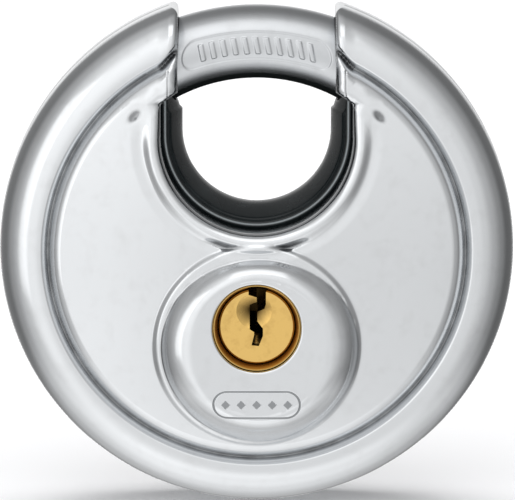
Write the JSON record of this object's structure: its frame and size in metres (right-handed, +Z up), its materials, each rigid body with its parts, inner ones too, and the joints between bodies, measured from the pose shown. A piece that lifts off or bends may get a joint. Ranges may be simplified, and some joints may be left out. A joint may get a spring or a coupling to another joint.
{
  "type": "disc padlock",
  "caption": "Round disc padlock in polished steel: a curved bar swings through the rim to close a U-shaped gap lined in black plastic, turned by a pin-tumbler cylinder in a raised boss.",
  "frame": {"origin": "middle of the shackle bar at the top of its arc, where the lock hangs", "axes": "+Z up, +Y out of the back, +X to the right as seen from the keyway side"},
  "size_m": [0.07, 0.0268, 0.0683],
  "materials": {
    "shell_steel": "polished stainless steel with fine handling marks",
    "shackle_steel": "satin ground stainless bar",
    "liner_plastic": "smooth black nylon",
    "core_casting": "as-cast zinc alloy",
    "hardened_plate": "hardened steel, oil blackened",
    "cylinder_brass": "machined brass",
    "plug_brass": "machined brass with fine turning marks",
    "pin_brass": "turned brass",
    "pin_steel": "turned steel",
    "spring_steel": "drawn spring wire",
    "drive_steel": "stamped steel",
    "screw_steel": "zinc plated steel"
  },
  "bodies": {
    "housing": {"front_shell": "shell_steel", "rear_shell": "shell_steel", "opening_liner": "liner_plastic", "front_core": "core_casting", "rear_core": "core_casting", "core_screw_1": "screw_steel", "core_screw_2": "screw_steel", "core_screw_3": "screw_steel", "core_screw_4": "screw_steel", "anti_drill_plate": "hardened_plate", "cylinder_body": "cylinder_brass", "chamber_cover": "cylinder_brass", "pin_spring_1": "spring_steel", "pin_spring_2": "spring_steel", "pin_spring_3": "spring_steel", "pin_spring_4": "spring_steel", "pin_spring_5": "spring_steel"},
    "shackle": {"shackle": "shackle_steel", "fork_plate": "drive_steel", "fork_rivet_1": "drive_steel", "fork_rivet_2": "drive_steel"},
    "plug": {"plug": "plug_brass", "crank": "drive_steel", "crank_pin": "drive_steel", "plug_clip": "spring_steel"},
    "key_pin_1": {"key_pin_1": "pin_brass"},
    "driver_pin_1": {"driver_pin_1": "pin_steel"},
    "key_pin_2": {"key_pin_2": "pin_brass"},
    "driver_pin_2": {"driver_pin_2": "pin_steel"},
    "key_pin_3": {"key_pin_3": "pin_brass"},
    "driver_pin_3": {"driver_pin_3": "pin_steel"},
    "key_pin_4": {"key_pin_4": "pin_brass"},
    "driver_pin_4": {"driver_pin_4": "pin_steel"},
    "key_pin_5": {"key_pin_5": "pin_brass"},
    "driver_pin_5": {"driver_pin_5": "pin_steel"}
  },
  "joints": [
    {"name": "plug_turn", "type": "hinge", "parent": "housing", "child": "plug", "pos_m": [0, 0, -0.0373], "axis": [0, 1, 0], "range_deg": [0, 150]},
    {"name": "shackle_turn", "type": "hinge", "parent": "housing", "child": "shackle", "pos_m": [0, 0, -0.028], "axis": [0, 1, 0], "range_deg": [0, 60]},
    {"name": "driver_pin_1_slide", "type": "slide", "parent": "housing", "child": "driver_pin_1", "axis": [0, 0, -1], "range_m": [0, 0.001], "stiffness_N_per_m": 60, "springref_m": -0.002, "deforming": ["pin_spring_1"]},
    {"name": "key_pin_1_slide", "type": "slide", "parent": "plug", "child": "key_pin_1", "axis": [0, 0, 1], "range_m": [0, 0.001]},
    {"name": "driver_pin_2_slide", "type": "slide", "parent": "housing", "child": "driver_pin_2", "axis": [0, 0, -1], "range_m": [0, 0.001], "stiffness_N_per_m": 60, "springref_m": -0.002, "deforming": ["pin_spring_2"]},
    {"name": "key_pin_2_slide", "type": "slide", "parent": "plug", "child": "key_pin_2", "axis": [0, 0, 1], "range_m": [0, 0.001]},
    {"name": "driver_pin_3_slide", "type": "slide", "parent": "housing", "child": "driver_pin_3", "axis": [0, 0, -1], "range_m": [0, 0.001], "stiffness_N_per_m": 60, "springref_m": -0.002, "deforming": ["pin_spring_3"]},
    {"name": "key_pin_3_slide", "type": "slide", "parent": "plug", "child": "key_pin_3", "axis": [0, 0, 1], "range_m": [0, 0.001]},
    {"name": "driver_pin_4_slide", "type": "slide", "parent": "housing", "child": "driver_pin_4", "axis": [0, 0, -1], "range_m": [0, 0.001], "stiffness_N_per_m": 60, "springref_m": -0.002, "deforming": ["pin_spring_4"]},
    {"name": "key_pin_4_slide", "type": "slide", "parent": "plug", "child": "key_pin_4", "axis": [0, 0, 1], "range_m": [0, 0.001]},
    {"name": "driver_pin_5_slide", "type": "slide", "parent": "housing", "child": "driver_pin_5", "axis": [0, 0, -1], "range_m": [0, 0.001], "stiffness_N_per_m": 60, "springref_m": -0.002, "deforming": ["pin_spring_5"]},
    {"name": "key_pin_5_slide", "type": "slide", "parent": "plug", "child": "key_pin_5", "axis": [0, 0, 1], "range_m": [0, 0.001]}
  ],
  "couplings": [
    {"joint": "shackle_turn", "follows": "plug_turn", "ratio": 0.4}
  ]
}
